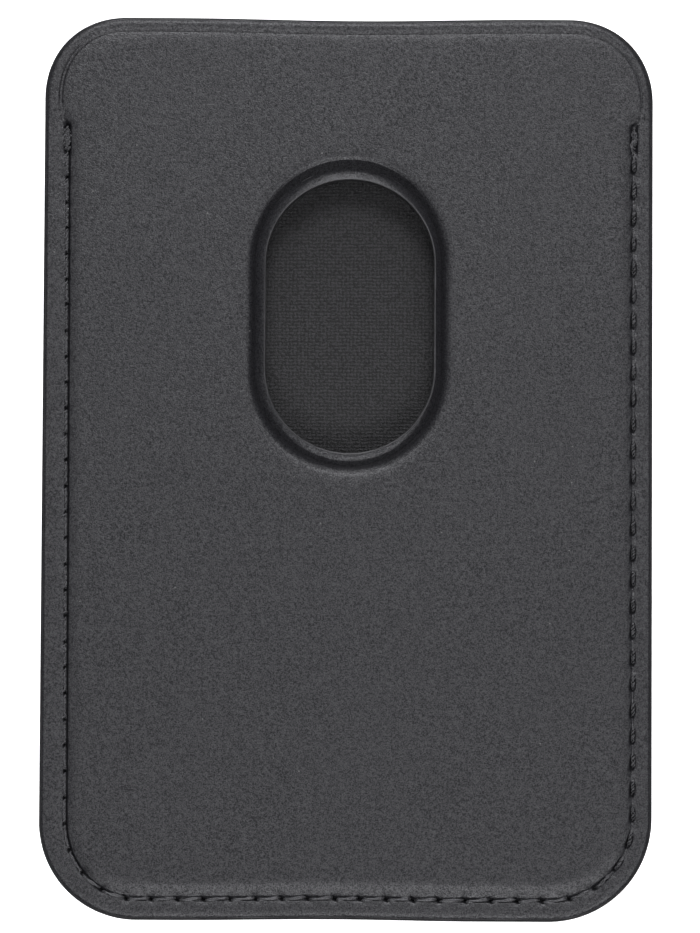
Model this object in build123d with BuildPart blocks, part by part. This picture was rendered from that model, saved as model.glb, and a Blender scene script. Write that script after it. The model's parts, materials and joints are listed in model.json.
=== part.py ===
"""Magnetic card holder: a stitched leather pocket for three bank cards that clings to the back of a phone.

The holder lies on its outward face. +X runs across it, +Y runs up to the open mouth of the pocket, and +Z
points out of the face that touches the phone. The origin is the middle of the outline, on the resting plane.
All sizes are in millimetres.
"""
import os
from math import atan2, cos, degrees, radians, sin

from build123d import *

# Outline of the leather, seen from the phone side.
WIDTH = 64.0
HEIGHT = 94.8
CORNER_TOP_LEFT = 8.5
CORNER_TOP_RIGHT = 8.8
CORNER_BOTTOM_LEFT = 10.2
CORNER_BOTTOM_RIGHT = 10.8

# Thickness of each layer, from the outward face to the phone side.
LEATHER = 0.85
FILM = 0.1
STIFFENER = 0.3
LINING = 0.2
POCKET_GAP = 2.35
SHIELD = 0.15
CARRIER = 0.9
EDGE_COAT = 0.15

# The outward panel is dished to make room for the cards.
DISH_RISE = 1.5
DISH_START = 2.9
DISH_RUN = 1.2
DISH_SHIFT = 0.47
MOUTH_OVERRUN = 3.0
STIFFENER_INSET = 4.8
STIFFENER_TOP = 1.0

# Seam: one row of lockstitch down the left side, along the bottom and up the right side.
SEAM_LEFT = 2.5
SEAM_RIGHT = 2.0
SEAM_BOTTOM = 2.2
SEAM_TOP_DROP = 10.8
STITCH_COUNT = 79
STITCH_LENGTH = 2.2
THREAD = 0.45
GROOVE_WIDTH = 0.7
GROOVE_DEPTH = 0.25
STITCH_HEIGHT = 0.3
SPACER_WIDTH = 3.9

# The phone-side panel is crowned inside the seam, over the boards and magnets.
CROWN_RISE = 0.45
CROWN_RUN = 1.2
CROWN_FROM_SEAM = 0.3
CROWN_TOP = 1.6
UNDERSIDE_SHIFT = 0.2

# Pressed line that closes the outline above the seam.
CREASE_TOP = 1.4
CREASE_LEFT = 1.8
CREASE_RIGHT = 1.3
CREASE_WIDTH = 0.3
CREASE_DEPTH = 0.12

# Thumb hole through the phone-side panel, with a sunken rim and a round bead along its lip.
HOLE_WIDTH = 17.6
HOLE_LENGTH = 28.6
HOLE_DROP = 31.4
HOLE_SHIFT = 0.2
RIM_SHOULDER = 2.2
RIM_FLOOR = 1.3
RIM_DEPTH = 0.9
RIM_COLLAR = 2.6
BEAD_RADIUS = 0.4
BEAD_OFFSET = 0.65

# Lining of the phone-side panel steps down round the boards, clear of the spacer.
STEP_START = 3.95
STEP_RUN = 0.3
STEP_TOP = 2.4
PLATE_INSET = 4.45
PLATE_TOP = 3.1
PLATE_CLEARANCE = 0.1

# Magnets: a ring and one upright bar below it, each on a thin steel backing.
RING_OUTER = 54.0
RING_INNER = 46.0
RING_COUNT = 16
RING_GAP = 0.4
BAR_WIDTH = 5.0
BAR_LENGTH = 18.0
BAR_DROP = 40.5
BACKING = 0.2
MAGNET = 0.55
RECESS_CLEARANCE = 0.1

# Heights of the faces between the layers.
Z_STIFFENER = LEATHER + FILM
Z_FRONT_LINING = Z_STIFFENER + STIFFENER
Z_POCKET = Z_FRONT_LINING + LINING
Z_BACK_LINING = Z_POCKET + POCKET_GAP
Z_SHIELD = Z_BACK_LINING + LINING
Z_CARRIER = Z_SHIELD + SHIELD
Z_BACK_FILM = Z_CARRIER + CARRIER
Z_BACK_LEATHER = Z_BACK_FILM + FILM
THICKNESS = Z_BACK_LEATHER + LEATHER
Z_MARGIN = THICKNESS - CROWN_RISE
Z_MARGIN_UNDER = Z_MARGIN - LEATHER
Z_SPACER_TOP = Z_MARGIN_UNDER - LINING
Z_SPACER = DISH_RISE + LEATHER + LINING
Z_RIM_FLOOR = THICKNESS - RIM_DEPTH
Z_MAGNET = Z_BACK_FILM - MAGNET
Z_BACKING = Z_MAGNET - BACKING

HOLE_Y = HEIGHT / 2 - HOLE_DROP
BAR_Y = HOLE_Y - BAR_DROP
SEAM_TOP_Y = HEIGHT / 2 - SEAM_TOP_DROP
FAR = 2 * HEIGHT


def corner_box(x0, y0, x1, y1, radii):
    """Rectangle with its own radius at each corner, from the lower left one anticlockwise."""
    with BuildSketch() as face:
        with BuildLine():
            FilletPolyline((x0, y0), (x1, y0), (x1, y1), (x0, y1), radius=radii, close=True)
        make_face()
    return face.sketch


def outline(inset, top=None, left=0.0, right=0.0, bottom=0.0):
    """Outline moved in by inset; top replaces it at the mouth, the other three add to it on their own side."""
    top = inset if top is None else top
    deepest = max(inset, top)
    radii = [
        CORNER_BOTTOM_LEFT - inset - (left + bottom) / 2,
        CORNER_BOTTOM_RIGHT - inset - (right + bottom) / 2,
        CORNER_TOP_RIGHT - deepest - right / 2,
        CORNER_TOP_LEFT - deepest - left / 2,
    ]
    return corner_box(
        -WIDTH / 2 + inset + left,
        -HEIGHT / 2 + inset + bottom,
        WIDTH / 2 - inset - right,
        HEIGHT / 2 - top,
        radii,
    )


def tray_outline(inset):
    """Outline of the dish in the outward panel: rounded at the bottom, open past the mouth."""
    radii = [CORNER_BOTTOM_LEFT - inset, CORNER_BOTTOM_RIGHT - inset, 1.0, 1.0]
    return corner_box(
        -WIDTH / 2 + inset,
        -HEIGHT / 2 + inset,
        WIDTH / 2 - inset,
        HEIGHT / 2 + MOUTH_OVERRUN,
        radii,
    )


def slot(grow):
    """Outline of the thumb hole, grown outwards by grow."""
    with BuildSketch() as face:
        with Locations((HOLE_SHIFT, HOLE_Y)):
            SlotOverall(HOLE_LENGTH + 2 * grow, HOLE_WIDTH + 2 * grow, rotation=90)
    return face.sketch


def raised(sketch, z):
    """The single face of a sketch, lifted to height z."""
    return sketch.face().moved(Location((0, 0, z)))


def slab(sketch, z, height):
    """Straight block that stands on z."""
    return extrude(raised(sketch, z), amount=height, mode=Mode.PRIVATE)


def taper(low_sketch, low_z, high_sketch, high_z):
    """Block with straight sloping walls between two outlines."""
    return loft([raised(low_sketch, low_z), raised(high_sketch, high_z)], ruled=True, mode=Mode.PRIVATE)


def dish_room(level, floor):
    """Everything above the dished surface that lies level above the outward face, with a flat floor."""
    start = DISH_START + DISH_SHIFT * level
    rim = DISH_RISE + level
    foot = start + DISH_RUN * (rim - floor) / DISH_RISE
    with BuildPart() as room:
        add(slab(outline(-1.0), rim, THICKNESS))
        add(taper(tray_outline(foot), floor, tray_outline(start), rim))
    return room.part


def front_sheet(low_room, high_room, inset):
    """Dished sheet of the outward panel, between two rooms."""
    with BuildPart() as sheet:
        add(low_room)
        add(high_room, mode=Mode.SUBTRACT)
        add(slab(outline(inset), 0, THICKNESS), mode=Mode.INTERSECT)
    return sheet.part


def seam_path():
    """Line of the stitches, from the left end of the seam round the bottom to the right end."""
    x0, x1 = -WIDTH / 2 + SEAM_LEFT, WIDTH / 2 - SEAM_RIGHT
    y0 = -HEIGHT / 2 + SEAM_BOTTOM
    radii = [
        CORNER_BOTTOM_LEFT - (SEAM_LEFT + SEAM_BOTTOM) / 2,
        CORNER_BOTTOM_RIGHT - (SEAM_RIGHT + SEAM_BOTTOM) / 2,
    ]
    with BuildLine() as path:
        FilletPolyline((x0, SEAM_TOP_Y), (x0, y0), (x1, y0), (x1, SEAM_TOP_Y), radius=radii)
    return path.line


def crease_path():
    """Line pressed into the leather from the left end of the seam round the mouth to the right end."""
    x0, x1 = -WIDTH / 2 + CREASE_LEFT, WIDTH / 2 - CREASE_RIGHT
    y1 = HEIGHT / 2 - CREASE_TOP
    radii = [
        CORNER_TOP_LEFT - (CREASE_LEFT + CREASE_TOP) / 2,
        CORNER_TOP_RIGHT - (CREASE_RIGHT + CREASE_TOP) / 2,
    ]
    with BuildLine() as path:
        FilletPolyline((x0, SEAM_TOP_Y), (x0, y1), (x1, y1), (x1, SEAM_TOP_Y), radius=radii)
    return path.line


def channel(path, z, width, depth):
    """Straight-sided channel along a path."""
    with BuildPart() as cut:
        with BuildSketch(Plane.XY.offset(z)):
            trace(path, line_width=width)
        extrude(amount=depth)
    return cut.part


def stitches(path, z):
    """The visible part of each stitch: a row of short round-ended bars along the seam."""
    with BuildPart() as row:
        with BuildSketch(Plane.XY.offset(z)):
            for n in range(STITCH_COUNT):
                share = (n + 0.5) / STITCH_COUNT
                heading = path % share
                with Locations(Location(path @ share, (0, 0, degrees(atan2(heading.Y, heading.X))))):
                    SlotOverall(STITCH_LENGTH, THREAD)
        extrude(amount=STITCH_HEIGHT)
    return row.part


def edge_band():
    """Thin band round the whole outline, as tall as the holder."""
    with BuildPart() as band:
        add(slab(outline(0), 0, THICKNESS))
        add(slab(outline(EDGE_COAT), 0, THICKNESS), mode=Mode.SUBTRACT)
    return band.part


def block(z, height, y0, y1):
    """Wide block between two heights and two places along the holder."""
    with BuildPart() as part:
        with BuildSketch(Plane.XY.offset(z)):
            with Locations((0, (y0 + y1) / 2)):
                Rectangle(FAR, y1 - y0)
        extrude(amount=height)
    return part.part


def ring_sketch(inner, outer):
    """Flat ring round the middle of the magnets."""
    with BuildSketch() as ring:
        with Locations((0, HOLE_Y)):
            Circle(outer)
            Circle(inner, mode=Mode.SUBTRACT)
    return ring.sketch


def bar_sketch(grow):
    """Outline of the bar magnet, grown outwards by grow."""
    with BuildSketch() as bar:
        with Locations((0, BAR_Y)):
            Rectangle(BAR_WIDTH + 2 * grow, BAR_LENGTH + 2 * grow)
    return bar.sketch


def save(part, name):
    """Label a finished piece and write its STEP file."""
    part.label = name
    export_step(part, f"parts/{name}.step")


os.makedirs("parts", exist_ok=True)

seam = seam_path()
band = edge_band()
face_room = dish_room(0, 0)
leather_room = dish_room(LEATHER, LEATHER)
board_room = dish_room(LEATHER, Z_FRONT_LINING)
pocket_room = dish_room(LEATHER + LINING, Z_POCKET)

# Outward panel: leather, film, stiffener and lining.
with BuildPart() as front_leather:
    add(front_sheet(face_room, leather_room, EDGE_COAT))
    add(channel(seam, DISH_RISE, GROOVE_WIDTH, GROOVE_DEPTH), mode=Mode.SUBTRACT)
save(front_leather.part, "front_leather")

with BuildPart() as bobbin_thread:
    add(stitches(seam, DISH_RISE + GROOVE_DEPTH - STITCH_HEIGHT))
save(bobbin_thread.part, "bobbin_thread")

with BuildPart() as front_adhesive_film:
    add(slab(outline(STIFFENER_INSET, top=STIFFENER_TOP), LEATHER, FILM))
save(front_adhesive_film.part, "front_adhesive_film")

with BuildPart() as front_stiffener:
    add(slab(outline(STIFFENER_INSET, top=STIFFENER_TOP), Z_STIFFENER, STIFFENER))
save(front_stiffener.part, "front_stiffener")

with BuildPart() as front_lining:
    add(front_sheet(board_room, pocket_room, EDGE_COAT))
save(front_lining.part, "front_lining")

# Welt that spaces the two panels along the seam.
with BuildPart() as edge_spacer:
    add(slab(outline(EDGE_COAT), Z_SPACER, Z_SPACER_TOP - Z_SPACER))
    add(slab(outline(SPACER_WIDTH), Z_SPACER, Z_SPACER_TOP - Z_SPACER), mode=Mode.SUBTRACT)
    add(block(0, THICKNESS, SEAM_TOP_Y, FAR), mode=Mode.SUBTRACT)
save(edge_spacer.part, "edge_spacer")

# Lining of the phone-side panel: flat margin, step, and a lower middle that holds the boards.
step_wall = STEP_START + LINING
step_slope = STEP_RUN * LINING / (Z_SPACER_TOP - Z_BACK_LINING)
with BuildPart() as back_lining:
    add(slab(outline(EDGE_COAT), Z_SPACER_TOP, LINING))
    add(
        taper(
            outline(STEP_START + STEP_RUN, top=STEP_TOP + STEP_RUN),
            Z_BACK_LINING,
            outline(STEP_START, top=STEP_TOP),
            Z_SPACER_TOP,
        )
    )
    add(
        taper(
            outline(step_wall + STEP_RUN - step_slope, top=STEP_TOP + LINING + STEP_RUN - step_slope),
            Z_SHIELD,
            outline(step_wall - step_slope, top=STEP_TOP + LINING - step_slope),
            Z_MARGIN_UNDER,
        ),
        mode=Mode.SUBTRACT,
    )
    add(slab(slot(EDGE_COAT), 0, THICKNESS), mode=Mode.SUBTRACT)
save(back_lining.part, "back_lining")

with BuildPart() as shield_plate:
    add(slab(outline(PLATE_INSET, top=PLATE_TOP), Z_SHIELD, SHIELD))
    add(slab(slot(EDGE_COAT), Z_SHIELD, SHIELD), mode=Mode.SUBTRACT)
save(shield_plate.part, "shield_plate")

# Carrier board with the recesses for the magnets and their steel backings.
with BuildPart() as magnet_carrier:
    add(slab(outline(PLATE_INSET, top=PLATE_TOP), Z_CARRIER, CARRIER))
    add(slab(slot(RIM_COLLAR + PLATE_CLEARANCE), Z_CARRIER, CARRIER), mode=Mode.SUBTRACT)
    add(
        slab(
            ring_sketch(RING_INNER / 2 - RECESS_CLEARANCE, RING_OUTER / 2 + RECESS_CLEARANCE),
            Z_BACKING,
            BACKING + MAGNET,
        ),
        mode=Mode.SUBTRACT,
    )
    add(slab(bar_sketch(RECESS_CLEARANCE), Z_BACKING, BACKING + MAGNET), mode=Mode.SUBTRACT)
save(magnet_carrier.part, "magnet_carrier")

with BuildPart() as ring_yoke:
    add(slab(ring_sketch(RING_INNER / 2, RING_OUTER / 2), Z_BACKING, BACKING))
save(ring_yoke.part, "ring_yoke")

pitch = 360 / RING_COUNT
half_gap = degrees(RING_GAP / (RING_OUTER + RING_INNER))
for n in range(RING_COUNT):
    first = n * pitch + half_gap
    last = (n + 1) * pitch - half_gap
    tips = [
        (RING_OUTER * cos(radians(angle)), HOLE_Y + RING_OUTER * sin(radians(angle)))
        for angle in (first, last)
    ]
    with BuildPart() as ring_magnet:
        with BuildSketch(Plane.XY.offset(Z_MAGNET)):
            add(ring_sketch(RING_INNER / 2, RING_OUTER / 2))
            with BuildLine():
                Polyline((0, HOLE_Y), tips[0], tips[1], (0, HOLE_Y))
            make_face(mode=Mode.INTERSECT)
        extrude(amount=MAGNET)
    save(ring_magnet.part, f"ring_magnet_{n + 1:02d}")

with BuildPart() as alignment_yoke:
    add(slab(bar_sketch(0), Z_BACKING, BACKING))
save(alignment_yoke.part, "alignment_yoke")

with BuildPart() as alignment_magnet:
    add(slab(bar_sketch(0), Z_MAGNET, MAGNET))
save(alignment_magnet.part, "alignment_magnet")

with BuildPart() as back_adhesive_film:
    add(slab(outline(PLATE_INSET, top=PLATE_TOP), Z_BACK_FILM, FILM))
    add(slab(slot(RIM_COLLAR + PLATE_CLEARANCE), Z_BACK_FILM, FILM), mode=Mode.SUBTRACT)
save(back_adhesive_film.part, "back_adhesive_film")

# Phone-side leather: crowned sheet, then the sunken rim and the bead of the thumb hole.
crown_left = SEAM_LEFT + CROWN_FROM_SEAM
crown_right = SEAM_RIGHT + CROWN_FROM_SEAM
crown_bottom = SEAM_BOTTOM + CROWN_FROM_SEAM
with BuildPart() as back_leather:
    add(slab(outline(EDGE_COAT), Z_MARGIN_UNDER, LEATHER))
    add(
        taper(
            outline(0, top=CROWN_TOP, left=crown_left, right=crown_right, bottom=crown_bottom),
            Z_MARGIN,
            outline(
                CROWN_RUN,
                top=CROWN_TOP + CROWN_RUN,
                left=crown_left,
                right=crown_right,
                bottom=crown_bottom,
            ),
            THICKNESS,
        )
    )
    add(
        taper(
            outline(
                UNDERSIDE_SHIFT,
                top=CROWN_TOP + UNDERSIDE_SHIFT,
                left=crown_left,
                right=crown_right,
                bottom=crown_bottom,
            ),
            Z_MARGIN_UNDER,
            outline(
                CROWN_RUN + UNDERSIDE_SHIFT,
                top=CROWN_TOP + CROWN_RUN + UNDERSIDE_SHIFT,
                left=crown_left,
                right=crown_right,
                bottom=crown_bottom,
            ),
            Z_BACK_LEATHER,
        ),
        mode=Mode.SUBTRACT,
    )
    add(slab(slot(RIM_COLLAR), Z_CARRIER, Z_RIM_FLOOR + LEATHER - Z_CARRIER))
    add(taper(slot(RIM_FLOOR), Z_RIM_FLOOR, slot(RIM_SHOULDER), THICKNESS), mode=Mode.SUBTRACT)
    with BuildLine():
        add(raised(slot(BEAD_OFFSET), Z_RIM_FLOOR).outer_wire())
    lip = Vector(HOLE_SHIFT + HOLE_WIDTH / 2 + BEAD_OFFSET, HOLE_Y, Z_RIM_FLOOR)
    with BuildSketch(Plane(origin=lip, x_dir=(1, 0, 0), z_dir=(0, 1, 0))):
        Circle(BEAD_RADIUS)
    sweep()
    add(slab(slot(EDGE_COAT), 0, THICKNESS), mode=Mode.SUBTRACT)
    add(channel(seam, Z_MARGIN - GROOVE_DEPTH, GROOVE_WIDTH, THICKNESS), mode=Mode.SUBTRACT)
    add(channel(crease_path(), Z_MARGIN - CREASE_DEPTH, CREASE_WIDTH, THICKNESS), mode=Mode.SUBTRACT)
save(back_leather.part, "back_leather")

with BuildPart() as needle_thread:
    add(stitches(seam, Z_MARGIN - GROOVE_DEPTH))
save(needle_thread.part, "needle_thread")

# Painted edges.
with BuildPart() as thumb_hole_edge_coat:
    add(slab(slot(EDGE_COAT), Z_BACK_LINING, Z_RIM_FLOOR - Z_BACK_LINING))
    add(slab(slot(0), Z_BACK_LINING, Z_RIM_FLOOR - Z_BACK_LINING), mode=Mode.SUBTRACT)
save(thumb_hole_edge_coat.part, "thumb_hole_edge_coat")

with BuildPart() as seam_edge_coat:
    add(band)
    add(block(DISH_RISE, Z_MARGIN - DISH_RISE, -FAR, SEAM_TOP_Y), mode=Mode.INTERSECT)
save(seam_edge_coat.part, "seam_edge_coat")

with BuildPart() as back_mouth_edge_coat:
    add(band)
    add(block(Z_SPACER_TOP, Z_MARGIN - Z_SPACER_TOP, SEAM_TOP_Y, FAR), mode=Mode.INTERSECT)
save(back_mouth_edge_coat.part, "back_mouth_edge_coat")

with BuildPart() as front_mouth_edge_coat:
    add(front_sheet(face_room, pocket_room, 0))
    add(band, mode=Mode.INTERSECT)
    add(block(0, THICKNESS, SEAM_TOP_Y, FAR), mode=Mode.INTERSECT)
save(front_mouth_edge_coat.part, "front_mouth_edge_coat")
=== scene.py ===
"""Looks of the magnetic card holder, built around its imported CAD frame. Lengths below are in millimetres."""
import json
import math

import bpy
import numpy as np
from mathutils import Matrix, Vector


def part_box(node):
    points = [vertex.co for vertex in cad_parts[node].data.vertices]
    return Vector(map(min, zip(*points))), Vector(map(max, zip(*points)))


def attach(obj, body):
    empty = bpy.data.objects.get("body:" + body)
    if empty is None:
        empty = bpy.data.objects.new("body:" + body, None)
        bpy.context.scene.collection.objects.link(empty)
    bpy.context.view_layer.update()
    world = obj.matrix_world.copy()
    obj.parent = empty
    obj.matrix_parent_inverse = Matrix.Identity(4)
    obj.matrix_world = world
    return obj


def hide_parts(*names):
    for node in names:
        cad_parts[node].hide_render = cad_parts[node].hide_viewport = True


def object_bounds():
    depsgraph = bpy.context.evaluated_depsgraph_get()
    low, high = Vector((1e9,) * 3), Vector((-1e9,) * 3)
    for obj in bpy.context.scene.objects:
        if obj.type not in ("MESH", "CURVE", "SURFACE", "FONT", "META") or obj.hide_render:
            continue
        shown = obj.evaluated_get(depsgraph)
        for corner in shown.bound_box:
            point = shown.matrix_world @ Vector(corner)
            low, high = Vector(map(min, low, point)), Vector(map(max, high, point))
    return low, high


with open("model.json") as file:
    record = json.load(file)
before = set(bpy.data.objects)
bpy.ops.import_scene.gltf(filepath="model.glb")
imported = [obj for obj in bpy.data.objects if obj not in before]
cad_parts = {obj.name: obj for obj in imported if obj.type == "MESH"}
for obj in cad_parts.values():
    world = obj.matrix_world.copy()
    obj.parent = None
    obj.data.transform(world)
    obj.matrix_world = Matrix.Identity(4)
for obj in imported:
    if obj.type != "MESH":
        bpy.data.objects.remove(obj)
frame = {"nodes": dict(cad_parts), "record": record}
cad_low, cad_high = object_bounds()
MM = 0.001


def span(node):
    """Lowest and highest corner of a CAD node, in millimetres."""
    low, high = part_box(node)
    return np.array(low) / MM, np.array(high) / MM


# Sizes read from the frame.
LOW, HIGH = np.array(cad_low) / MM, np.array(cad_high) / MM
HALF_W, HALF_H = (HIGH[0] - LOW[0]) / 2, (HIGH[1] - LOW[1]) / 2
TOP_Z = HIGH[2]
SEAM_LOW, SEAM_HIGH = span("seam_edge_coat")
SEAM_TOP_Y = SEAM_HIGH[1]
MARGIN_Z = SEAM_HIGH[2]
DISH_Z = SEAM_LOW[2]
HOLE_LOW, HOLE_HIGH = span("thumb_hole_edge_coat")
HOLE_X, HOLE_Y = (HOLE_LOW[:2] + HOLE_HIGH[:2]) / 2
COAT = span("front_leather")[0][0] - LOW[0]
HOLE_R = (HOLE_HIGH[0] - HOLE_LOW[0]) / 2 - COAT
HOLE_STRAIGHT = (HOLE_HIGH[1] - HOLE_LOW[1]) / 2 - COAT - HOLE_R
COLLAR_Z = span("back_leather")[0][2]
LINING_LOW_Z, LINING_HIGH_Z = span("back_lining")[0][2], span("back_lining")[1][2]
UNDER_Z = LINING_HIGH_Z
CLOTH_Z = span("front_lining")[0][2]

# Corner radii of the outline: lower left, lower right, upper right, upper left.
RADII = (10.2, 10.8, 8.8, 8.5)
# How much fuller than a plain arc the two top corners are in their middle.
TOP_BULGE = 0.12
# How much lower the lower arc of the thumb hole sits than in the plain slot.
ARC_DROP = 0.17
LEATHER = 0.85
CLOTH = 0.2
STITCHES = 79
# Distance from the end of the seam's edge paint to the first needle hole.
LEAD = 0.85
CROWN = TOP_Z - MARGIN_Z
# Smooth loops keep every fourth sample of the outline.
FEW = 4


def smooth(t):
    """Eased step from 0 to 1."""
    t = np.clip(t, 0, 1)
    return t * t * (3 - 2 * t)


def wobble(x, y, size, seed):
    """Smooth irregular field between about -1 and 1 that repeats nowhere in reach."""
    rng = np.random.default_rng(seed)
    total = 0
    for k in range(6):
        angle, phase = rng.uniform(0, math.tau), rng.uniform(0, math.tau)
        wave = math.tau / (size * rng.uniform(0.6, 1.7))
        total = total + np.sin((x * math.cos(angle) + y * math.sin(angle)) * wave + phase)
    return total / 3.2


def warp(x, y):
    """Slight inward bow of the cut edges at the mouth and at the bottom."""
    top = 0.23 * smooth((y - 30) / 17) * (0.5 + 0.5 * np.cos(np.clip((x - 1) / 19, -1, 1) * math.pi))
    low = 0.16 * smooth((-y - 30) / 17) * (0.5 + 0.5 * np.cos(np.clip((x + 2) / 16, -1, 1) * math.pi))
    return y - top + low


def outline_table():
    """Fine table of the outline, anticlockwise from the left end of the seam: points and inward normals."""
    r_bl, r_br, r_tr, r_tl = RADII
    step = 0.02
    pts, nrm = [], []

    def line(a, b):
        a, b = np.array(a, float), np.array(b, float)
        n = max(2, int(np.linalg.norm(b - a) / step))
        t = (b - a) / np.linalg.norm(b - a)
        for k in range(n):
            pts.append(a + (b - a) * k / n)
            nrm.append((-t[1], t[0]))

    def arc(c, r, start, bulge=0.0):
        n = int(r * math.pi / 2 / step)
        for k in range(n):
            a = start + math.pi / 2 * k / n
            reach = r + bulge * math.sin(2 * (a - start)) ** 2
            pts.append((c[0] + reach * math.cos(a), c[1] + reach * math.sin(a)))
            nrm.append((-math.cos(a), -math.sin(a)))

    w, h = HALF_W, HALF_H
    line((-w, SEAM_TOP_Y), (-w, -h + r_bl))
    arc((-w + r_bl, -h + r_bl), r_bl, math.pi)
    line((-w + r_bl, -h), (w - r_br, -h))
    arc((w - r_br, -h + r_br), r_br, 1.5 * math.pi)
    line((w, -h + r_br), (w, h - r_tr))
    arc((w - r_tr, h - r_tr), r_tr, 0, TOP_BULGE)
    line((w - r_tr, h), (-w + r_tl, h))
    arc((-w + r_tl, h - r_tl), r_tl, 0.5 * math.pi, TOP_BULGE)
    line((-w, h - r_tl), (-w, SEAM_TOP_Y))
    return np.array(pts, float), np.array(nrm, float)


def sided(nrm, left, right, bottom, top):
    """A value that changes smoothly round the outline from side to side."""
    nx, ny = nrm[:, 0], nrm[:, 1]
    return nx**2 * np.where(nx > 0, left, right) + ny**2 * np.where(ny > 0, bottom, top)


class Rim:
    """Sample points round the outline: stitch by stitch along the seam, evenly round the mouth."""

    def __init__(self):
        pts, nrm = outline_table()
        on_mouth = pts[:, 1] > SEAM_TOP_Y
        lean = 2.4 + 0.32 * np.clip((SEAM_TOP_Y - pts[:, 1]) / 80, 0, 1)
        seam = nrm[:, 0] ** 2 * np.where(nrm[:, 0] > 0, lean, 2.0) + nrm[:, 1] ** 2 * 2.2
        crease = sided(nrm, 1.85, 1.2, 2.2, 1.53)
        share = smooth((pts[:, 1] - SEAM_TOP_Y + 0.6) / 0.7)
        ref = seam * (1 - share) + crease * share
        line = pts + nrm * ref[:, None]
        gaps = np.linalg.norm(np.roll(line, -1, 0) - line, axis=1)
        pos = np.concatenate([[0], np.cumsum(gaps)])
        first_mouth = int(np.argmax((np.arange(len(pts)) > len(pts) // 3) & on_mouth))
        self.seam_length = pos[first_mouth]
        rng = np.random.default_rng(7)
        pitch = (self.seam_length - 2 * LEAD) / STITCHES
        holes = LEAD + np.arange(STITCHES + 1) * pitch
        holes[1:-1] += rng.uniform(-0.07, 0.07, STITCHES - 1)
        self.holes = holes
        # Shares of a stitch at which the outline is sampled, closest together near the needle holes.
        marks = [0, 0.035, 0.07, 0.105, 0.15, 0.2, 0.29, 0.4, 0.5, 0.6, 0.71, 0.8, 0.85, 0.895, 0.93, 0.965]
        marks = np.array(marks)
        lead = LEAD * np.arange(4) / 4
        u = (holes[:-1, None] + np.diff(holes)[:, None] * marks).ravel()
        u = np.concatenate([lead, u, holes[-1] + lead])
        self.seam_count = len(u)
        mouth = pos[-1] - self.seam_length
        count = 4 * int(mouth / 0.27 / 4)
        u = np.concatenate([u, self.seam_length + np.arange(count) * mouth / count])
        self.u = u
        table = [np.append(a, a[0]) for a in (pts[:, 0], pts[:, 1], nrm[:, 0], nrm[:, 1], ref)]
        x, y, nx, ny, ref = (np.interp(u, pos, a) for a in table)
        size = np.hypot(nx, ny)
        self.p = np.stack([x, y], 1)
        self.n = np.stack([nx / size, ny / size], 1)
        self.ref = ref
        self.count = len(u)
        self.to_hole = np.abs(u[:, None] - holes[None, :]).min(1)
        k = np.clip(np.searchsorted(holes, u, "right") - 1, 0, STITCHES - 1)
        self.phase = np.clip((u - holes[k]) / np.diff(holes)[k], 0, 1)
        self.on_seam = 1 - smooth((self.p[:, 1] - SEAM_TOP_Y - 0.3) / 0.6)
        self.pos, self.table = pos, table

    def at(self, u):
        """Point on the sewn line at arc length u, with its inward normal."""
        x, y, nx, ny, ref = (np.interp(u, self.pos, a) for a in self.table)
        size = np.hypot(nx, ny)
        nx, ny = nx / size, ny / size
        return np.stack([x + nx * ref, y + ny * ref], -1), np.stack([nx, ny], -1)

    def loop(self, s, z, every=1):
        """Closed loop of points at inset s and height z."""
        s = np.broadcast_to(s, self.count)
        z = np.broadcast_to(z, self.count)
        xy = self.p + self.n * s[:, None]
        out = np.stack([xy[:, 0], warp(xy[:, 0], xy[:, 1]), z], 1)
        return out[::every]


rim = Rim()


def make_object(name, verts, faces, smooth_angle=40):
    """Object from points in millimetres, smooth except where faces meet at more than smooth_angle."""
    mesh = bpy.data.meshes.new(name)
    mesh.from_pydata((np.asarray(verts) * MM).tolist(), [], faces)
    mesh.validate()
    mesh.polygons.foreach_set("use_smooth", [True] * len(mesh.polygons))
    mesh.set_sharp_from_angle(angle=math.radians(smooth_angle))
    obj = bpy.data.objects.new(name, mesh)
    bpy.context.scene.collection.objects.link(obj)
    return obj


def skin(loops, closed):
    """Faces between neighbouring closed loops; a loop may have four times as many points as the next."""
    starts = np.cumsum([0] + [len(a) for a in loops])
    faces = []
    pairs = list(zip(range(len(loops) - 1), range(1, len(loops))))
    if closed:
        pairs.append((len(loops) - 1, 0))
    for a, b in pairs:
        na, nb, sa, sb = len(loops[a]), len(loops[b]), starts[a], starts[b]
        if na == nb:
            k = np.arange(na)
            k1 = (k + 1) % na
            faces += np.stack([sa + k, sa + k1, sb + k1, sb + k], 1).tolist()
        elif na > nb:
            r = na // nb
            for k in range(nb):
                k1 = (k + 1) % nb
                fan = [sa + (k * r + j) % na for j in range(r + 1)]
                half = r // 2
                faces += [[fan[j], fan[j + 1], sb + k] for j in range(half)]
                faces += [[fan[half], sb + k1, sb + k]]
                faces += [[fan[j], fan[j + 1], sb + k1] for j in range(half, r)]
        else:
            r = nb // na
            for k in range(na):
                k1 = (k + 1) % na
                fan = [sb + (k * r + j) % nb for j in range(r + 1)]
                half = r // 2
                faces += [[fan[j + 1], fan[j], sa + k] for j in range(half)]
                faces += [[sa + k, sa + k1, fan[half]]]
                faces += [[fan[j + 1], fan[j], sa + k1] for j in range(half, r)]
    return np.concatenate(loops), faces


def tube_faces(count, sides):
    """Faces of a tube of count rings of points with sides points each, closed at both ends."""
    faces = []
    for i in range(count - 1):
        for k in range(sides):
            k1 = (k + 1) % sides
            faces.append([i * sides + k, i * sides + k1, (i + 1) * sides + k1, (i + 1) * sides + k])
    faces.append(list(range(sides))[::-1])
    faces.append([(count - 1) * sides + k for k in range(sides)])
    return faces


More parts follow.
